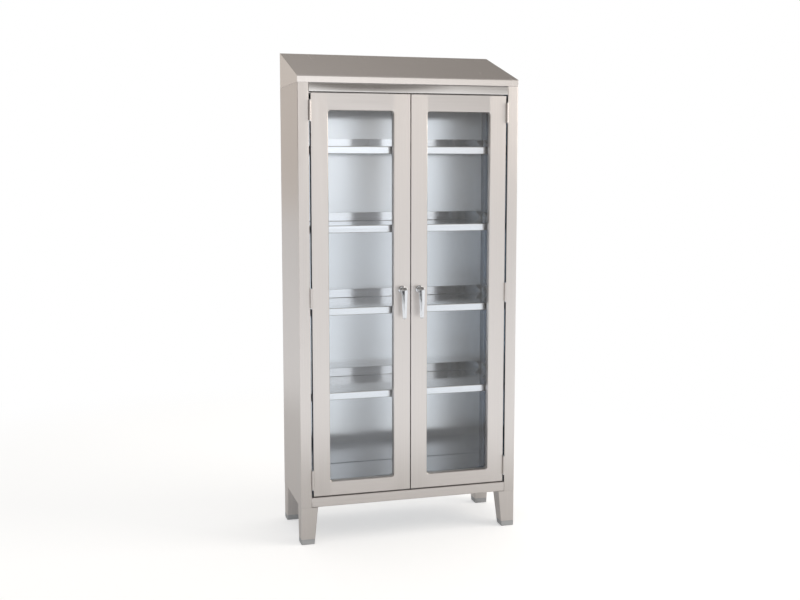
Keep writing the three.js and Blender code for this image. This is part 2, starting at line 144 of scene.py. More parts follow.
def brushedStainless(name, s, grain, railSpan=None, bow=None, lining=None):
    material, tree = startMaterial(name)
    place = addNode(tree, "ShaderNodeTexCoord").outputs["Object"]
    across, along = 1 / s["lineWidth"], 1 / s["lineLength"]
    upScale, levelScale = (across, across, along), (along, across, across)
    scale = {"up": upScale, "level": levelScale, "slope": (across, along, along)}[grain]
    direction = (1, 0, 0) if grain == "level" else (0, 0, 1)
    if railSpan:  # the grain runs level on the rails, which lie between the stiles
        x = addNode(tree, "ShaderNodeSeparateXYZ", {0: place}).outputs["X"]
        reach = addNode(tree, "ShaderNodeMath", {0: x}, operation="ABSOLUTE").outputs[0]
        middle, half = sum(railSpan) / 2, (railSpan[1] - railSpan[0]) / 2
        onRail = addNode(tree, "ShaderNodeMath", {0: reach, 1: middle, 2: half},
                         operation="COMPARE").outputs[0]
        scale = addNode(tree, "ShaderNodeMix", {0: onRail, 4: upScale, 5: levelScale},
                        data_type="VECTOR").outputs[1]
        direction = addNode(tree, "ShaderNodeMix", {0: onRail, 4: (0, 0, 1), 5: (1, 0, 0)},
                            data_type="VECTOR").outputs[1]
    stretched = addNode(tree, "ShaderNodeVectorMath", {0: place, 1: scale}, operation="MULTIPLY").outputs[0]
    lines = addNode(tree, "ShaderNodeTexNoise",
                    {"Vector": stretched, "Scale": 1, "Detail": 4, "Roughness": 0.65}).outputs[0]
    wave = addNode(tree, "ShaderNodeTexNoise",
                   {"Vector": place, "Scale": 1 / s["waveLength"], "Detail": 1}).outputs[0]
    colour = addNode(tree, "ShaderNodeMix", {0: lines, 6: toLinear(s["deep"]), 7: toLinear(s["pale"])},
                     data_type="RGBA").outputs[2]
    roughness = addNode(tree, "ShaderNodeMapRange", {
        "Value": lines, "From Min": 0.25, "From Max": 0.75,
        "To Min": s["smooth"], "To Max": s["rough"]}).outputs[0]
    if lining:  # faces inside the sheet's outer faces get a colour of their own: painted shade on the side walls and the doors' hinge edges, painted cool light on the back panel; their roughness is the mill's finish
        spot = addNode(tree, "ShaderNodeSeparateXYZ", {0: place}).outputs
        reach = addNode(tree, "ShaderNodeMath", {0: spot["X"]}, operation="ABSOLUTE").outputs[0]
        within = addNode(tree, "ShaderNodeMath", {0: reach, 1: lining["reach"]},
                         operation=lining["side"]).outputs[0]
        middle, half = (lining["front"] + lining["rear"]) / 2, (lining["rear"] - lining["front"]) / 2
        between = addNode(tree, "ShaderNodeMath", {0: spot["Y"], 1: middle, 2: half},
                          operation="COMPARE").outputs[0]
        inside = addNode(tree, "ShaderNodeMath", {0: within, 1: between}, operation="MULTIPLY").outputs[0]
        colour = addNode(tree, "ShaderNodeMix", {0: inside, 6: colour, 7: toLinear(lining["pale"])},
                         data_type="RGBA").outputs[2]
        roughness = addNode(tree, "ShaderNodeMix", {0: inside, 2: roughness, 3: lining["rough"]}).outputs[0]
    waved = addNode(tree, "ShaderNodeBump", {"Height": wave, "Distance": s["waveHeight"]}).outputs[0]
    if lining and lining["dish"]:  # thin sheet held at its edges is dished a little
        hollow = addNode(tree, "ShaderNodeMath", {0: reach, 1: reach}, operation="MULTIPLY").outputs[0]
        waved = addNode(tree, "ShaderNodeBump", {
            "Height": hollow, "Distance": lining["dish"] / 2, "Normal": waved}).outputs[0]
    if bow:  # pulled in by its welds, the sheet leans back toward its top, most of all at the bow's middle
        spot = addNode(tree, "ShaderNodeSeparateXYZ", {0: place}).outputs
        away = addNode(tree, "ShaderNodeMath", {0: spot["X"], 1: bow["centre"]},
                       operation="SUBTRACT").outputs[0]
        away = addNode(tree, "ShaderNodeMath", {0: away}, operation="ABSOLUTE").outputs[0]
        lean = addNode(tree, "ShaderNodeMapRange", {
            "Value": away, "From Max": bow["half"], "To Min": bow["lean"], "To Max": bow["endLean"]},
            interpolation_type="SMOOTHSTEP").outputs[0]
        rise = addNode(tree, "ShaderNodeMath", {0: spot["Z"], 1: bow["foot"]},
                       operation="SUBTRACT").outputs[0]
        curve = addNode(tree, "ShaderNodeMath", {0: rise, 1: rise}, operation="MULTIPLY").outputs[0]
        curve = addNode(tree, "ShaderNodeMath", {0: curve, 1: 2 * bow["height"]},
                        operation="DIVIDE").outputs[0]
        fall = addNode(tree, "ShaderNodeMath", {0: curve, 1: lean}, operation="MULTIPLY").outputs[0]
        sunk = addNode(tree, "ShaderNodeMath", {0: fall, 1: -1}, operation="MULTIPLY").outputs[0]
        waved = addNode(tree, "ShaderNodeBump", {"Height": sunk, "Distance": 1, "Normal": waved}).outputs[0]
    lined = addNode(tree, "ShaderNodeBump", {
        "Height": lines, "Distance": s["lineHeight"], "Normal": waved}).outputs[0]
    turned = addNode(tree, "ShaderNodeVectorTransform", {0: direction},
                     vector_type="VECTOR", convert_from="OBJECT", convert_to="WORLD").outputs[0]
    shader = addNode(tree, "ShaderNodeBsdfPrincipled", {
        "Base Color": colour, "Metallic": 1, "Roughness": roughness, "Normal": lined, "Tangent": turned,
        "Anisotropic": s["anisotropy"], "Anisotropic Rotation": s["spreadTurn"]}).outputs[0]
    addNode(tree, "ShaderNodeOutputMaterial", {"Surface": shader})
    return material


# Bright-annealed stainless sheet, left as it came off the rolls: a soft cool mirror with faint
# rolling lines, in which the shelves and the doors' backs show.
mirrorSet = {
    "pale": "#e8ecf1",
    "deep": "#e1e5ea",
    "lineWidth": 8 * mm,  # rolling lines are finer than this, drawn coarser so that they show
    "lineLength": 700 * mm,
    "waveLength": 220 * mm,
    "waveHeight": 0.15 * mm,
    "smooth": 0.1,
    "rough": 0.18,
}
deckSet = mirrorSet | {"pale": "#d8dfe8", "deep": "#cfd6e0", "smooth": 0.14, "rough": 0.24}  # darker and bluer than the bright annealed sheet: painted shade and painted cool light; rougher from use


def annealedStainless(name, s):
    material, tree = startMaterial(name)
    place = addNode(tree, "ShaderNodeTexCoord").outputs["Object"]
    across, along = 1 / s["lineWidth"], 1 / s["lineLength"]
    stretched = addNode(tree, "ShaderNodeVectorMath", {0: place, 1: (along, across, across)},
                        operation="MULTIPLY").outputs[0]
    lines = addNode(tree, "ShaderNodeTexNoise", {"Vector": stretched, "Scale": 1, "Detail": 3}).outputs[0]
    wave = addNode(tree, "ShaderNodeTexNoise",
                   {"Vector": place, "Scale": 1 / s["waveLength"], "Detail": 1}).outputs[0]
    colour = addNode(tree, "ShaderNodeMix", {0: lines, 6: toLinear(s["deep"]), 7: toLinear(s["pale"])},
                     data_type="RGBA").outputs[2]
    roughness = addNode(tree, "ShaderNodeMapRange", {
        "Value": lines, "From Min": 0.25, "From Max": 0.75,
        "To Min": s["smooth"], "To Max": s["rough"]}).outputs[0]
    waved = addNode(tree, "ShaderNodeBump", {"Height": wave, "Distance": s["waveHeight"]}).outputs[0]
    shader = addNode(tree, "ShaderNodeBsdfPrincipled", {
        "Base Color": colour, "Metallic": 1, "Roughness": roughness, "Normal": waved}).outputs[0]
    addNode(tree, "ShaderNodeOutputMaterial", {"Surface": shader})
    return material


# Chrome plate on a polished die casting: a clear mirror, dulled a little where hands wipe it.
chromeSet = {"pale": "#eceef1", "deep": "#dfe2e6", "wipeLength": 14 * mm, "smooth": 0.04, "rough": 0.13}


def chromePlate(name):
    s = chromeSet
    material, tree = startMaterial(name)
    place = addNode(tree, "ShaderNodeTexCoord").outputs["Object"]
    wipes = addNode(tree, "ShaderNodeTexNoise",
                    {"Vector": place, "Scale": 1 / s["wipeLength"], "Detail": 4}).outputs[0]
    colour = addNode(tree, "ShaderNodeMix", {0: wipes, 6: toLinear(s["deep"]), 7: toLinear(s["pale"])},
                     data_type="RGBA").outputs[2]
    roughness = addNode(tree, "ShaderNodeMapRange", {
        "Value": wipes, "From Min": 0.3, "From Max": 0.7,
        "To Min": s["smooth"], "To Max": s["rough"]}).outputs[0]
    shader = addNode(tree, "ShaderNodeBsdfPrincipled", {
        "Base Color": colour, "Metallic": 1, "Roughness": roughness}).outputs[0]
    addNode(tree, "ShaderNodeOutputMaterial", {"Surface": shader})
    return material


# Bright zinc electroplate on mild steel: a grey satin metal with a faint cloudy mottle.
zincSet = {"pale": "#c4c8cb", "deep": "#a9aeb2", "mottle": 9 * mm, "smooth": 0.32, "rough": 0.46}


def zincPlate(name):
    s = zincSet
    material, tree = startMaterial(name)
    place = addNode(tree, "ShaderNodeTexCoord").outputs["Object"]
    clouds = addNode(tree, "ShaderNodeTexNoise",
                     {"Vector": place, "Scale": 1 / s["mottle"], "Detail": 5, "Roughness": 0.6}).outputs[0]
    colour = addNode(tree, "ShaderNodeMix", {0: clouds, 6: toLinear(s["deep"]), 7: toLinear(s["pale"])},
                     data_type="RGBA").outputs[2]
    roughness = addNode(tree, "ShaderNodeMapRange", {
        "Value": clouds, "From Min": 0.3, "From Max": 0.7,
        "To Min": s["smooth"], "To Max": s["rough"]}).outputs[0]
    shader = addNode(tree, "ShaderNodeBsdfPrincipled", {
        "Base Color": colour, "Metallic": 1, "Roughness": roughness}).outputs[0]
    addNode(tree, "ShaderNodeOutputMaterial", {"Surface": shader})
    return material


# Moulded and extruded rubber and plastic: matt, with a fine skin and a bloom of paler dust.
mouldedSets = {
    "grey_rubber": {
        "pale": "#c8c9ca", "deep": "#b6b8ba", "skin": 1.6 * mm, "height": 0.08 * mm, "rough": 0.72},
    "glazing_rubber": {
        "pale": "#c6c9cb", "deep": "#b6b9bc", "skin": 1.2 * mm, "height": 0.05 * mm, "rough": 0.6},
    "magnet_case": {
        "pale": "#5b5d60", "deep": "#4c4e51", "skin": 1.0 * mm, "height": 0.05 * mm, "rough": 0.5},
}
skinShares = {
    "roughSpread": 0.08,  # either side of each skin's own roughness
    "bloom": 0.06,  # the bloom's scale as a share of the skin's
}


def mouldedSkin(name, s):
    material, tree = startMaterial(name)
    place = addNode(tree, "ShaderNodeTexCoord").outputs["Object"]
    grain = addNode(tree, "ShaderNodeTexNoise",
                    {"Vector": place, "Scale": 1 / s["skin"], "Detail": 2}).outputs[0]
    bloom = addNode(tree, "ShaderNodeTexNoise",
                    {"Vector": place, "Scale": skinShares["bloom"] / s["skin"], "Detail": 3}).outputs[0]
    colour = addNode(tree, "ShaderNodeMix", {0: bloom, 6: toLinear(s["deep"]), 7: toLinear(s["pale"])},
                     data_type="RGBA").outputs[2]
    roughness = addNode(tree, "ShaderNodeMapRange", {
        "Value": bloom, "From Min": 0.3, "From Max": 0.7,
        "To Min": s["rough"] - skinShares["roughSpread"],
        "To Max": s["rough"] + skinShares["roughSpread"]}).outputs[0]
    bumped = addNode(tree, "ShaderNodeBump", {"Height": grain, "Distance": s["height"]}).outputs[0]
    shader = addNode(tree, "ShaderNodeBsdfPrincipled", {
        "Base Color": colour, "Roughness": roughness, "Normal": bumped}).outputs[0]
    addNode(tree, "ShaderNodeOutputMaterial", {"Surface": shader})
    return material


# Toughened float glass: clear, and wiped clean so that faint streaks stay.
glassSet = {"tint": "#fdfeff", "ior": 1.52, "streak": 60 * mm, "rough": 0.02}


def floatGlass(name):
    s = glassSet
    material, tree = startMaterial(name)
    place = addNode(tree, "ShaderNodeTexCoord").outputs["Object"]
    wiped = addNode(tree, "ShaderNodeTexNoise",
                    {"Vector": place, "Scale": 1 / s["streak"], "Detail": 4, "Distortion": 1.5}).outputs[0]
    roughness = addNode(tree, "ShaderNodeMapRange", {
        "Value": wiped, "From Min": 0.45, "From Max": 0.8, "To Min": 0, "To Max": s["rough"]}).outputs[0]
    glass = addNode(tree, "ShaderNodeBsdfPrincipled", {
        "Base Color": toLinear(s["tint"]), "Roughness": roughness, "IOR": s["ior"],
        "Transmission Weight": 1}).outputs[0]
    clear = addNode(tree, "ShaderNodeBsdfTransparent", {"Color": toLinear(s["tint"])}).outputs[0]
    # the lamps light the shelves through it
    toLamp = addNode(tree, "ShaderNodeLightPath").outputs["Is Shadow Ray"]
    shader = addNode(tree, "ShaderNodeMixShader", {0: toLamp, 1: glass, 2: clear}).outputs[0]
    addNode(tree, "ShaderNodeOutputMaterial", {"Surface": shader})
    return material


# The door's opening is the glazing rubber's box less the width that the rubber hides
glazing = {"bite": 11.3 * mm, "radius": 10 * mm}
gasketLow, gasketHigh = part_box("right_door_gasket")
railSpan = (gasketLow.x + glazing["bite"], gasketHigh.x - glazing["bite"])
brushedUp = brushedStainless("stainless brushed upright", brushedSet, "up")
brushedLevel = brushedStainless("stainless brushed level", brushedSet, "level")
brushedSlope = brushedStainless("stainless brushed down the slope", hoodSet, "slope")
innerBox = {  # inside the sheet's outer faces
    "reach": cadHigh.x - 0.8 * mm,
    "side": "LESS_THAN",
    "front": frontFace + 1.7 * mm,
    "rear": cadHigh.y - 0.6 * mm,
}
# painted shade and painted cool light: the side walls' inner faces get a dark bluish colour, so that they
# darken what they mirror; their roughness is dull from the mill
sideWallShade = innerBox | {"pale": "#9ba8b6", "rough": 0.26, "dish": 0}
# painted cool light: the back panel's inner face gets a paler, bluer colour than its brushed outside; the
# dish is the turn of the face for each metre of width
backPanelLight = innerBox | {"pale": "#f3f9ff", "rough": 0.21, "dish": 0.15}
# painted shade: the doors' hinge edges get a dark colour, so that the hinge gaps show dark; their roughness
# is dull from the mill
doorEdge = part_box("right_door_frame")[1].x - 0.2 * mm
hingeEdgeShade = innerBox | {
    "reach": doorEdge, "side": "GREATER_THAN", "pale": "#7f868d", "rough": 0.3, "dish": 0}
brushedDoor = brushedStainless("stainless brushed door", brushedSet, "up", railSpan, lining=hingeEdgeShade)
brushedSide = brushedStainless("stainless brushed outside", sideSet, "up", lining=sideWallShade)
brushedBack = brushedStainless("stainless brushed both sides", backSet, "up", lining=backPanelLight)
headerBow = {
    "centre": -170 * mm,
    "half": 420 * mm,
    "lean": 0.235,  # slope at the top of the rail
    "endLean": 0.05,
    "foot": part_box("header_rail")[0].z,
    "height": 35 * mm,
}
brushedBowed = brushedStainless("stainless brushed bowed", headerSet, "level", bow=headerBow)
finishes = {
    "brushed_stainless": brushedUp,
    "polished_stainless": annealedStainless("stainless bright annealed", mirrorSet),
    "chrome": chromePlate("chrome plate"),
    "zinc_plate": zincPlate("zinc plate"),
    "clear_glass": floatGlass("glass toughened float"),
}
for slotName, mouldedSet in mouldedSets.items():
    finishes[slotName] = mouldedSkin("moulded " + slotName.replace("_", " "), mouldedSet)
special = {
    "sloped_hood": brushedSlope,
    "header_rail": brushedBowed,
    "bottom_rail": brushedLevel,
    "back_panel": brushedBack,
    "bottom_deck": annealedStainless("stainless annealed, worn, painted shade", deckSet),
    "left_side_panel": brushedSide,
    "right_side_panel": brushedSide,
    "left_door_liner": brushedDoor,
    "right_door_liner": brushedDoor,
}
print("materials made:", len(bpy.data.materials))

# Every carried-over node: weld the facets, merge flat ones, break the edges and smooth the bends
edgeSet = {"weld": 0.01 * mm, "flat": 1, "break": 0.4 * mm, "sharpOver": 50, "smoothUnder": 40, "steps": 2}


def smoothBends(s):
    tree = bpy.data.node_groups.new("smoothBends", "GeometryNodeTree")
    tree.interface.new_socket("Geometry", in_out="INPUT", socket_type="NodeSocketGeometry")
    tree.interface.new_socket("Geometry", in_out="OUTPUT", socket_type="NodeSocketGeometry")
    entry = addNode(tree, "NodeGroupInput").outputs[0]
    bare = addNode(tree, "GeometryNodeRemoveAttribute",
                   {"Geometry": entry, "Name": "custom_normal"}).outputs[0]
    soft = addNode(tree, "GeometryNodeSetShadeSmooth", {"Geometry": bare}, domain="FACE").outputs[0]
    angle = addNode(tree, "GeometryNodeInputMeshEdgeAngle").outputs[0]
    sharp = addNode(tree, "FunctionNodeCompare", {0: angle, 1: math.radians(s["smoothUnder"])},
                    operation="GREATER_THAN").outputs[0]
    done = addNode(tree, "GeometryNodeSetShadeSmooth",
                   {"Geometry": soft, "Selection": sharp, "Shade Smooth": False}, domain="EDGE").outputs[0]
    addNode(tree, "NodeGroupOutput", {0: done})
    return tree


smoothTree = smoothBends(edgeSet)


def keepFlat(piece):  # wide flat faces hold their own direction beside a round edge
    flat = piece.modifiers.new("keepFlat", "WEIGHTED_NORMAL")
    flat.keep_sharp = True


def breakEdges(piece, s):
    weld = piece.modifiers.new("weld", "WELD")
    weld.merge_threshold = s["weld"]
    flat = piece.modifiers.new("mergeFlat", "DECIMATE")
    flat.decimate_type = "DISSOLVE"
    flat.angle_limit = math.radians(s["flat"])
    bevel = piece.modifiers.new("breakEdges", "BEVEL")
    bevel.width = s["break"]
    bevel.segments = s["steps"]
    bevel.limit_method = "ANGLE"
    bevel.angle_limit = math.radians(s["sharpOver"])
    bevel.harden_normals = False
    smooth = piece.modifiers.new("smoothBends", "NODES")
    smooth.node_group = smoothTree
    keepFlat(piece)


for name, node in nodes.items():
    material = special.get(name, finishes[slotOf[name]])
    node.data.materials.clear()
    node.data.materials.append(material)
    if slotOf[name] != "clear_glass":
        breakEdges(node, edgeSet)
print("frame dressed")


# Mesh helpers for the pieces made here
def ringPoints(left, right, low, high, radius, steps=6):  # one loop of pairs, round at its four corners
    centres = ((right - radius, low + radius), (right - radius, high - radius),
               (left + radius, high - radius), (left + radius, low + radius))
    points = []
    for quarter, (a, b) in enumerate(centres):
        for i in range(steps + 1):
            angle = math.radians(90 * (quarter - 1 + i / steps))
            points.append((a + radius * math.cos(angle), b + radius * math.sin(angle)))
    return points


def loft(bm, rings, closed=False, capped=False):
    rows = [[bm.verts.new(point) for point in ring] for ring in rings]
    pairs = list(zip(rows, rows[1:]))
    if closed:
        pairs.append((rows[-1], rows[0]))
    for low, high in pairs:
        for i in range(len(low)):
            j = (i + 1) % len(low)
            bm.faces.new((low[i], low[j], high[j], high[i]))
    if capped:
        bm.faces.new(rows[0])
        bm.faces.new(rows[-1])
    return rows


def turned(bm, profile, centre, steps=32):  # profile pairs are a radius and a depth along Y
    x, z = centre
    angles = [2 * math.pi * i / steps for i in range(steps)]
    rings = [[(x + radius * math.cos(a), depth, z + radius * math.sin(a)) for a in angles]
             for radius, depth in profile]
    loft(bm, rings, capped=True)


def prism(bm, points, push):
    base = [bm.verts.new(point) for point in points]
    top = [bm.verts.new(Vector(point) + Vector(push)) for point in points]
    bm.faces.new(base)
    bm.faces.new(top)
    for i in range(len(base)):
        j = (i + 1) % len(base)
        bm.faces.new((base[i], base[j], top[j], top[i]))


def stud(bm, centre, out, across, radius, profile, steps=16):  # a small head that stands on a face
    centre, out, across = Vector(centre), Vector(out), Vector(across)
    up = out.cross(across)
    rings = []
    for shares, height in profile:
        ring = []
        for i in range(steps):
            turn = 2 * math.pi * i / steps
            spoke = across * math.cos(turn) + up * math.sin(turn)
            ring.append(centre + radius * (shares[i % len(shares)] * spoke + height * out))
        rings.append(ring)
    loft(bm, rings, capped=True)


def addPiece(name, bm, material, body, replaced=(), sharpOver=35, closed=True):
    if closed:
        bmesh.ops.recalc_face_normals(bm, faces=bm.faces)
    mesh = bpy.data.meshes.new(name)
    bm.to_mesh(mesh)
    bm.free()
    mesh.shade_smooth()
    mesh.set_sharp_from_angle(angle=math.radians(sharpOver))
    mesh.materials.append(material)
    piece = bpy.data.objects.new(name, mesh)
    scene.collection.objects.link(piece)
    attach(piece, body)
    if replaced:
        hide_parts(*replaced)
    return piece


# Door pans: one sheet folded back round the outside and round the opening, with round folds
panSet = {
    "corner": 2 * mm,
    "outerFold": 1.6 * mm,
    "openingFold": 4.5 * mm,
    "sheet": 1.2 * mm,
    "wall": 18.1 * mm,  # depth of the return round the glass
    "foldSteps": 5,
    "least": 0.3 * mm,
    "rodWidth": 8 * mm,
    "rodPlay": 0.6 * mm,
}


def rodHole(bm, rod, skins, i, j):  # a square hole for a latch rod, through both skins of a folded wall
    s = panSet
    low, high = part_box(rod)
    middle = (low + high) / 2
    reach = s["rodWidth"] / 2 + s["rodPlay"]
    xs = (middle.x - reach, middle.x + reach)
    ys = (low.y - s["rodPlay"], high.y + s["rodPlay"])
    rims = []
    for back, front in skins:
        wall = (back[i], back[j], front[j], front[i])
        bm.faces.remove(bm.faces.get(wall))
        rim = [bm.verts.new((xs[v.co.x > middle.x], ys[v.co.y > middle.y], v.co.z)) for v in wall]
        for k in range(4):
            bm.faces.new((wall[k - 1], wall[k], rim[k], rim[k - 1]))
        rims.append(rim)
    for k in range(4):
        bm.faces.new((rims[0][k - 1], rims[0][k], rims[1][k], rims[1][k - 1]))


def doorPan(side):
    s = panSet
    low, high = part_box(f"{side}_door_frame")
    rubberLow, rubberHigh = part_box(f"{side}_door_gasket")
    depth = high.y - low.y

    def outer(inset, y):
        radius = max(s["corner"] - inset, s["least"])
        points = ringPoints(low.x + inset, high.x - inset, low.z + inset, high.z - inset, radius)
        return [(x, low.y + y, z) for x, z in points]

    def opening(grow, y):
        inset = glazing["bite"] - grow
        points = ringPoints(rubberLow.x + inset, rubberHigh.x - inset,
                            rubberLow.z + inset, rubberHigh.z - inset, glazing["radius"] + grow)
        return [(x, low.y + y, z) for x, z in points]

    folds = [math.radians(90 * i / s["foldSteps"]) for i in range(s["foldSteps"] + 1)]
    big, small, sheet = s["openingFold"], s["outerFold"], s["sheet"]
    rings = [outer(0, depth)]
    rings += [outer(small * (1 - math.cos(a)), small * (1 - math.sin(a))) for a in folds]
    rings += [opening(big * (1 - math.sin(a)), big * (1 - math.cos(a))) for a in folds]
    rings += [opening(0, s["wall"]), opening(sheet, s["wall"]), opening(sheet, big), opening(big, sheet)]
    rings += [outer(small, sheet), outer(sheet, small), outer(sheet, depth)]
    bm = bmesh.new()
    rows = loft(bm, rings, closed=True)
    skins = ((rows[0], rows[1]), (rows[-1], rows[-2]))  # the outer wall's outside and inside
    quarter = len(rows[0]) // 4
    rodHole(bm, f"{side}_upper_latch_rod", skins, 2 * quarter - 1, 2 * quarter)
    rodHole(bm, f"{side}_lower_latch_rod", skins, -1, 0)
    pan = addPiece(f"{side}DoorPan", bm, brushedDoor, f"{side}_door",
                   [f"{side}_door_frame"])
    keepFlat(pan)


# Levers: a ridged cast blade on a waisted hub, over a dished rose
leverSet = {
    "head": 13 * mm,
    "end": 8 * mm,
    "length": 108 * mm,
    # share of the width, and depth in mm
    "section": ((0.04, 0), (0.1, 0.14), (0.18, 0.45), (0.92, 3.3), (0.98, 3.8), (1, 4.6),
                (1, 6.4), (0.97, 7.8), (0.88, 9.2), (0.7, 10.3), (0.4, 10.9), (0.2, 11)),
    "steps": 12,
    # radius and height, in mm
    "hub": ((10.8, 0), (10.8, 1.8), (9.4, 3.2), (8.4, 12), (9.2, 24), (10.6, 27)),
    "rose": ((16, 0), (16, 1.8), (15.3, 3.3), (13.4, 4.4), (11.8, 4.9)),
    "roseSteps": 48,
    "hubGap": 0.3 * mm,
    "sharpOver": 45,
}


def lever(side):
    s = leverSet
    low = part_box(f"{side}_handle_lever")[0]
    roseLow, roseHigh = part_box(f"{side}_handle_rose")
    x, z = (roseLow.x + roseHigh.x) / 2, (roseLow.z + roseHigh.z) / 2
    bm = bmesh.new()
    rings = []
    for share, depth in s["section"]:
        y = low.y + depth * mm
        ring = []
        for radius, drop, start in ((s["head"], 0, 0), (s["end"], s["length"], math.pi)):
            for i in range(s["steps"] + 1):
                turn = start + math.pi * i / s["steps"]
                ring.append((x + share * radius * math.cos(turn), y,
                             z - drop + share * radius * math.sin(turn)))
        rings.append(ring)
    loft(bm, rings, capped=True)
    hubFoot = roseLow.y - s["hubGap"]
    turned(bm, [(r * mm, hubFoot - h * mm) for r, h in s["hub"]], (x, z))
    piece = addPiece(f"{side}Lever", bm, finishes["chrome"], f"{side}_handle",
                     [f"{side}_handle_lever"], s["sharpOver"])
    keepFlat(piece)
    bm = bmesh.new()
    turned(bm, [(r * mm, roseHigh.y - h * mm) for r, h in s["rose"]], (x, z), s["roseSteps"])
    addPiece(f"{side}Rose", bm, finishes["chrome"], f"{side}_door",
             [f"{side}_handle_rose"], s["sharpOver"])


# Legs and their rubber tips: square tubes with round corners, tapered on the inner faces only
legSet = {
    "top": 70 * mm,
    "bottom": 55 * mm,
    "height": 152 * mm,
    "corner": 4 * mm,
    "cornerSteps": 4,
    "tip": 22 * mm,
    "gap": 0.3 * mm,
    "tipRound": 2.5 * mm,
    "tipSteps": 4,
}


def legRing(side, end, z, inset):
    s = legSet
    width = s["bottom"] + (s["top"] - s["bottom"]) * z / s["height"]
    outerX = cadLow.x if side == "left" else cadHigh.x
    innerX = outerX + (width if side == "left" else -width)
    outerY = frontFace if end == "front" else cadHigh.y
    innerY = outerY + (width if end == "front" else -width)
    xs, ys = sorted((outerX, innerX)), sorted((outerY, innerY))
    points = ringPoints(xs[0] + inset, xs[1] - inset, ys[0] + inset, ys[1] - inset,
                        s["corner"] - inset, s["cornerSteps"])
    return [(x, y, z) for x, y in points]


def legWithTip(side, end):
    s = legSet
    name = f"{end}{side.capitalize()}Leg"
    bm = bmesh.new()
    loft(bm, [legRing(side, end, z, 0) for z in (s["tip"] + s["gap"], s["height"] - s["gap"])], capped=True)
    leg = addPiece(name, bm, brushedUp, "cabinet", [f"{end}_{side}_leg"])
    keepFlat(leg)
    bm = bmesh.new()
    foot = s["tipRound"]
    arc = [math.radians(90 * i / s["tipSteps"]) for i in range(s["tipSteps"] + 1)]
    rings = [legRing(side, end, foot * (1 - math.sin(a)), foot * (1 - math.cos(a))) for a in reversed(arc)]
    rings += [legRing(side, end, s["tip"] - s["gap"], 0), legRing(side, end, s["tip"], s["gap"])]
    loft(bm, rings, capped=True)
    tip = addPiece(name + "Tip", bm, finishes["grey_rubber"], "cabinet",
                   [f"{end}_{side}_leg_tip"])
    keepFlat(tip)


# Shelf standards: slotted channel on the side walls, with folded clips under the shelves
standardSet = {
    "thick": 4 * mm,
    "wall": 1.2 * mm,
    "slotWide": 4 * mm,
    "slotHigh": 11 * mm,
    "pitch": 25 * mm,
    "endPitches": 1.5,  # from an end to its nearest slot
    "shelves": 4,
    "clipReach": 20 * mm,
    "clipWide": 10 * mm,
    "clipDrop": 24 * mm,
    "clipNose": 3 * mm,
    "clipSheet": 1.5 * mm,
    "shelfSheet": 1.8 * mm,  # the shelf's own sheet and the play under it
}


def shelfStandard(end, side, sign):
    s = standardSet
    node = f"{end}_{side}_shelf_standard"
    low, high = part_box(node)
    outer = low.x if sign < 0 else high.x
    inner = outer - sign * s["thick"]
    middle = (low.y + high.y) / 2
    slot = s["slotWide"] / 2
    columns = [(outer, low.y), (inner, low.y), (inner, middle - slot), (inner, middle + slot),
               (inner, high.y), (outer, high.y)]
    count = int((high.z - low.z) / s["pitch"] - 2 * s["endPitches"]) + 1
    levels = [low.z]
    for i in range(count):
        foot = low.z + (i + s["endPitches"]) * s["pitch"] - s["slotHigh"] / 2
        levels += [foot, foot + s["slotHigh"]]
    levels.append(high.z)
    bm = bmesh.new()
    grid = [[bm.verts.new((x, y, z)) for x, y in columns] for z in levels]
    for row in range(len(levels) - 1):
        for column in range(len(columns) - 1):
            if row % 2 and column == 2:
                continue  # a slot
            a, b = grid[row], grid[row + 1]
            corners = (a[column], a[column + 1], b[column + 1], b[column])
            bm.faces.new(corners if sign < 0 else corners[::-1])
    name = f"{end}{side.capitalize()}Standard"
    strip = addPiece(name, bm, finishes["zinc_plate"], "cabinet", [node], closed=False)
    wall = strip.modifiers.new("wall", "SOLIDIFY")
    wall.thickness = s["wall"]
    wall.offset = -1
    wall.use_even_offset = True
    bm = bmesh.new()
    tip = inner - sign * s["clipReach"]
    half = s["clipWide"] / 2
    for i in range(s["shelves"]):
        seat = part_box(f"shelf_{i + 1}")[1].z - s["shelfSheet"]
        plate = [(inner, middle - half, seat), (tip, middle - half, seat),
                 (tip, middle + half, seat), (inner, middle + half, seat)]
        prism(bm, plate, (0, 0, -s["clipSheet"]))
        for edge in (middle - half, middle + half - s["clipSheet"]):
            cheek = [(inner, edge, seat - s["clipSheet"]), (tip, edge, seat - s["clipSheet"]),
                     (tip, edge, seat - s["clipNose"]), (inner, edge, seat - s["clipDrop"])]
            prism(bm, cheek, (0, s["clipSheet"], 0))
    addPiece(name + "Clips", bm, finishes["zinc_plate"], "cabinet")


# Screws with a cross recess on the hinge leaves and the standards, and spot welds round the back
screwSet = {
    "radius": 3.2 * mm,
    "profile": (((1,), 0), ((0.95,), 0.06), ((0.7,), 0.11),
                ((0.55, 0.24, 0.2, 0.24), 0.12), ((0.44, 0.2, 0.16, 0.2), -0.2)),
    "hingeSteps": (-25 * mm, 0, 25 * mm),
    "hingeDepth": 13 * mm,
    "leafFace": 2.05 * mm,  # from the pin's middle to the face of a hinge leaf
    "standardEnd": 12 * mm,
}
weldSet = {
    "radius": 3.5 * mm,
    "profile": (((1,), 0), ((0.85,), 0.06), ((0.5,), 0.09)),
    "pitch": 105 * mm,
    "edge": 9 * mm,
}


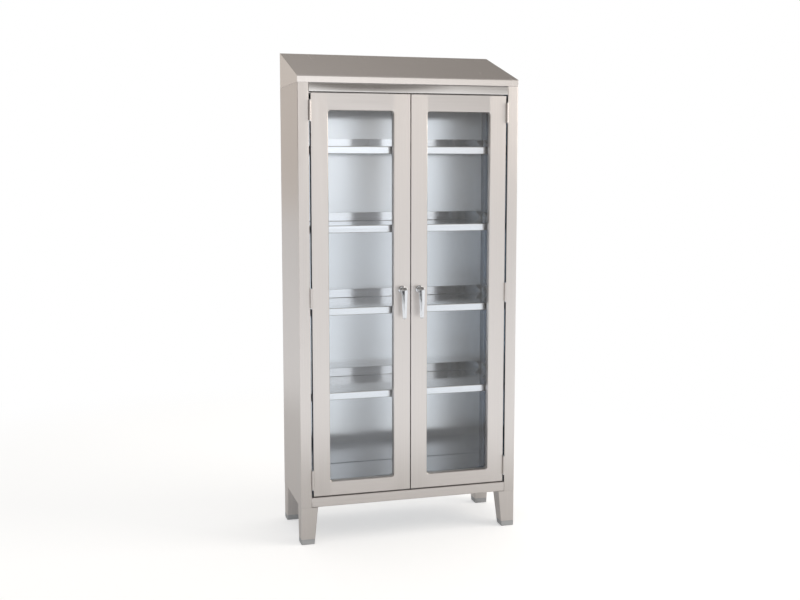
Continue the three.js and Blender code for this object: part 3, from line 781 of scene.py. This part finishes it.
def screws(side, sign):
    s = screwSet
    onDoor, onBody = bmesh.new(), bmesh.new()
    for level in ("bottom", "middle", "top"):
        for bm, leaf, out in ((onDoor, "door_leaf", sign), (onBody, "frame_leaf", -sign)):
            low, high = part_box(f"{side}_{level}_hinge_{leaf}")
            pinLow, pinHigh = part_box(f"{side}_{level}_hinge_pin")
            pinX = (pinLow.x + pinHigh.x) / 2
            face = pinX - out * s["leafFace"]
            for step in s["hingeSteps"]:
                place = (face, frontFace + s["hingeDepth"], (low.z + high.z) / 2 + step)
                stud(bm, place, (out, 0, 0), (0, 1, 0), s["radius"], s["profile"])
    for end in ("front", "rear"):
        low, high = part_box(f"{end}_{side}_shelf_standard")
        inner = (low.x if sign < 0 else high.x) - sign * standardSet["thick"]
        for z in (low.z + s["standardEnd"], high.z - s["standardEnd"]):
            place = (inner, (low.y + high.y) / 2, z)
            stud(onBody, place, (-sign, 0, 0), (0, 1, 0), s["radius"], s["profile"])
    addPiece(f"{side}DoorScrews", onDoor, finishes["zinc_plate"], f"{side}_door")
    addPiece(f"{side}BodyScrews", onBody, finishes["zinc_plate"], "cabinet")


def backWelds():
    s = weldSet
    low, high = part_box("back_panel")
    bm = bmesh.new()
    places = []
    for axis, (start, stop) in (("z", (low.z, high.z)), ("x", (low.x, high.x))):
        count = round((stop - start - 2 * s["edge"]) / s["pitch"])
        for i in range(count + 1):
            along = start + s["edge"] + (stop - start - 2 * s["edge"]) * i / count
            if axis == "z":
                places += [(low.x + s["edge"], along), (high.x - s["edge"], along)]
            elif 0 < i < count:
                places += [(along, low.z + s["edge"]), (along, high.z - s["edge"])]
    for x, z in places:
        stud(bm, (x, high.y, z), (0, 1, 0), (1, 0, 0), s["radius"], s["profile"])
    addPiece("backWelds", bm, brushedUp, "cabinet")


backWelds()
for side, sign in sides:
    screws(side, sign)
    doorPan(side)
    lever(side)
    for end in ("front", "rear"):
        legWithTip(side, end)
        shelfStandard(end, side, sign)
print("pieces made")

# Stage: a pale floor that runs into a white surround, and soft light
stageSet = {
    "floorColour": "#e9e8e6",
    "floorHalf": 30,
    "floorDrop": 0.5 * mm,
    "lift": 0.46,  # how far the floor's own paleness is raised for the eye
    "mirrorLift": 0.1,  # the share of that lift that metal shows
    "fadeCentre": (-0.5, 0.5, 0),  # the shadow falls to this side
    "fadeFrom": 1.5,
    "fadeTo": 2.7,
    "farBehind": 0.8,  # how white metal shows the floor behind the cabinet
    "behindSpan": (-1, 1.5),
    "skyLevel": 0.55,
    "throughGlass": 0.5,  # how much of the room's light and dark shows in the metal behind the glass
    # what metal shows: a bright end of the room right of the eye, a dim left, a grey ceiling
    "glowAim": (0.13, -0.99, 0.03),
    "glowFall": (2.7, 0.6, 3.2),  # how fast it falls off each way
    "glowEdge": (0.15, 1.05),
    "glow": 1.2,
    "dim": 0.42,
    "behind": 0.38,
    "wallTint": "#f6eee6",  # away from the glow the room is a little warm
    "behindAim": (-0.45, 0.89, 0),
    "behindEdge": (0.3, 0.95),
    "ceiling": 0.55,
    "ceilingEdge": (0.1, 0.42),
    # a low dark screen beyond the eye, which only metal shows, so that the chrome levers have dark edges
    "screenColour": "#1d1e20",
    "screenPlace": (-3.2, -6.4, 0.18),
    "screenHalf": (1.7, 0.18),
}


def rayKinds(tree, s):  # rays that metal has mirrored, also on through glass, and rays straight from the eye
    path = addNode(tree, "ShaderNodeLightPath").outputs
    bounced = addNode(tree, "ShaderNodeMath", {0: path["Glossy Depth"], 1: 0.5},
                      operation="GREATER_THAN").outputs[0]
    fromMetal = addNode(tree, "ShaderNodeMath", {0: path["Is Glossy Ray"], 1: bounced},
                        operation="MULTIPLY").outputs[0]
    seen = addNode(tree, "ShaderNodeMath", {0: path["Is Camera Ray"], 1: path["Is Transmission Ray"]},
                   use_clamp=True).outputs[0]
    direct = addNode(tree, "ShaderNodeMath", {0: fromMetal, 1: -s["throughGlass"], 2: seen},
                     operation="MULTIPLY_ADD", use_clamp=True).outputs[0]
    return fromMetal, direct


def addFloor(s):
    bm = bmesh.new()
    bmesh.ops.create_grid(bm, x_segments=8, y_segments=8, size=s["floorHalf"])
    mesh = bpy.data.meshes.new("floor")
    bm.to_mesh(mesh)
    bm.free()
    floor = bpy.data.objects.new("floor", mesh)
    scene.collection.objects.link(floor)
    floor.location.z = -s["floorDrop"]
    material, tree = startMaterial("floor painted pale")
    place = addNode(tree, "ShaderNodeTexCoord").outputs["Object"]
    fromMetal, direct = rayKinds(tree, s)
    shown = addNode(tree, "ShaderNodeMath", {0: fromMetal, 1: s["mirrorLift"]},
                    operation="MULTIPLY").outputs[0]
    shown = addNode(tree, "ShaderNodeMath", {0: shown, 1: direct}, operation="MAXIMUM").outputs[0]
    lift = addNode(tree, "ShaderNodeMath", {0: shown, 1: s["lift"]}, operation="MULTIPLY").outputs[0]
    paint = addNode(tree, "ShaderNodeBsdfDiffuse", {"Color": toLinear(s["floorColour"])}).outputs[0]
    raised = addNode(tree, "ShaderNodeEmission", {"Strength": lift}).outputs[0]
    near = addNode(tree, "ShaderNodeAddShader", {0: paint, 1: raised}).outputs[0]
    y = addNode(tree, "ShaderNodeSeparateXYZ", {0: place}).outputs["Y"]
    mirrored = addNode(tree, "ShaderNodeMapRange", {
        "Value": y, "From Min": s["behindSpan"][0], "From Max": s["behindSpan"][1],
        "To Min": 1, "To Max": s["farBehind"]}).outputs[0]
    bright = addNode(tree, "ShaderNodeMix", {0: fromMetal, 2: 1, 3: mirrored}).outputs[0]
    white = addNode(tree, "ShaderNodeEmission", {"Strength": bright}).outputs[0]
    away = addNode(tree, "ShaderNodeVectorMath", {0: place, 1: s["fadeCentre"]},
                   operation="SUBTRACT").outputs[0]
    distance = addNode(tree, "ShaderNodeVectorMath", {0: away}, operation="LENGTH").outputs[1]
    far = addNode(tree, "ShaderNodeMapRange", {
        "Value": distance, "From Min": s["fadeFrom"], "From Max": s["fadeTo"]},
        interpolation_type="SMOOTHSTEP").outputs[0]
    seen = addNode(tree, "ShaderNodeMath", {0: shown, 1: 0}, operation="GREATER_THAN").outputs[0]
    farSeen = addNode(tree, "ShaderNodeMath", {0: far, 1: seen}, operation="MULTIPLY").outputs[0]
    shader = addNode(tree, "ShaderNodeMixShader", {0: farSeen, 1: near, 2: white}).outputs[0]
    addNode(tree, "ShaderNodeOutputMaterial", {"Surface": shader})
    mesh.materials.append(material)


def addSurround(s):
    world = bpy.data.worlds.new("surround")
    scene.world = world
    world.use_nodes = True
    tree = world.node_tree
    tree.nodes.clear()
    fromMetal, direct = rayKinds(tree, s)
    ray = addNode(tree, "ShaderNodeTexCoord").outputs["Generated"]
    rise = addNode(tree, "ShaderNodeSeparateXYZ", {0: ray}).outputs["Z"]
    away = addNode(tree, "ShaderNodeVectorMath", {0: ray, 1: s["glowAim"]}, operation="SUBTRACT").outputs[0]
    away = addNode(tree, "ShaderNodeVectorMath", {0: away, 1: s["glowFall"]}, operation="MULTIPLY").outputs[0]
    away = addNode(tree, "ShaderNodeVectorMath", {0: away}, operation="LENGTH").outputs[1]
    glow = addNode(tree, "ShaderNodeMapRange", {
        "Value": away, "From Min": s["glowEdge"][0], "From Max": s["glowEdge"][1],
        "To Min": s["glow"], "To Max": 0},
        interpolation_type="SMOOTHSTEP").outputs[0]
    facing = addNode(tree, "ShaderNodeVectorMath", {0: ray, 1: s["behindAim"]},
                     operation="DOT_PRODUCT").outputs[1]
    behind = addNode(tree, "ShaderNodeMapRange", {
        "Value": facing, "From Min": s["behindEdge"][0], "From Max": s["behindEdge"][1],
        "To Min": s["dim"], "To Max": s["dim"] + s["behind"]},
        interpolation_type="SMOOTHSTEP").outputs[0]
    ceiling = addNode(tree, "ShaderNodeMapRange", {
        "Value": rise, "From Min": s["ceilingEdge"][0], "From Max": s["ceilingEdge"][1],
        "To Min": 1, "To Max": s["ceiling"]},
        interpolation_type="SMOOTHSTEP").outputs[0]
    room = addNode(tree, "ShaderNodeMath", {0: glow, 1: behind}).outputs[0]
    mirrored = addNode(tree, "ShaderNodeMath", {0: room, 1: ceiling}, operation="MULTIPLY").outputs[0]
    lit = addNode(tree, "ShaderNodeMix", {0: fromMetal, 2: s["skyLevel"], 3: mirrored}).outputs[0]
    level = addNode(tree, "ShaderNodeMix", {0: direct, 2: lit, 3: 1}).outputs[0]
    warmth = addNode(tree, "ShaderNodeMix", {0: glow, 6: toLinear(s["wallTint"]), 7: toLinear("#ffffff")},
                     data_type="RGBA").outputs[2]
    colour = addNode(tree, "ShaderNodeMix", {0: fromMetal, 6: toLinear("#ffffff"), 7: warmth},
                     data_type="RGBA").outputs[2]
    shader = addNode(tree, "ShaderNodeBackground", {"Color": colour, "Strength": level}).outputs[0]
    addNode(tree, "ShaderNodeOutputWorld", {"Surface": shader})


def addScreen(s):
    half, rise = s["screenHalf"]
    bm = bmesh.new()
    corners = ((-half, -rise), (half, -rise), (half, rise), (-half, rise))
    bm.faces.new([bm.verts.new((x, 0, z)) for x, z in corners])
    mesh = bpy.data.meshes.new("screen")
    bm.to_mesh(mesh)
    bm.free()
    screen = bpy.data.objects.new("screen", mesh)
    scene.collection.objects.link(screen)
    screen.location = s["screenPlace"]
    screen.visible_camera = False
    screen.visible_transmission = False
    screen.visible_diffuse = False
    screen.visible_shadow = False
    material, tree = startMaterial("cloth black felt")
    felt = addNode(tree, "ShaderNodeBsdfDiffuse", {"Color": toLinear(s["screenColour"])}).outputs[0]
    addNode(tree, "ShaderNodeOutputMaterial", {"Surface": felt})
    mesh.materials.append(material)


# Softboxes: the key stands well to the right, out of the doors' mirror, and one hangs overhead
lamps = {
    "key": {"place": (3.6, -1.8, 2.6), "aim": (0, 0, 1), "size": (2.4, 2.4), "power": 60, "tint": "#fff8f0"},
    "top": {"place": (0.3, 0.4, 4.4), "aim": (0, 0, 1), "size": (4, 4), "power": 22, "tint": "#ffffff"},
}


def addLamp(name, s):
    data = bpy.data.lights.new(name, "AREA")
    data.shape = "RECTANGLE"
    data.size, data.size_y = s["size"]
    data.energy = s["power"]
    data.color = toLinear(s["tint"])[:3]
    lamp = bpy.data.objects.new(name, data)
    scene.collection.objects.link(lamp)
    lamp.location = s["place"]
    lamp.rotation_euler = (Vector(s["aim"]) - lamp.location).to_track_quat("-Z", "Y").to_euler()


addFloor(stageSet)
addSurround(stageSet)
addScreen(stageSet)
for lampName, lampSet in lamps.items():
    addLamp(lampName, lampSet)
print("stage lit")
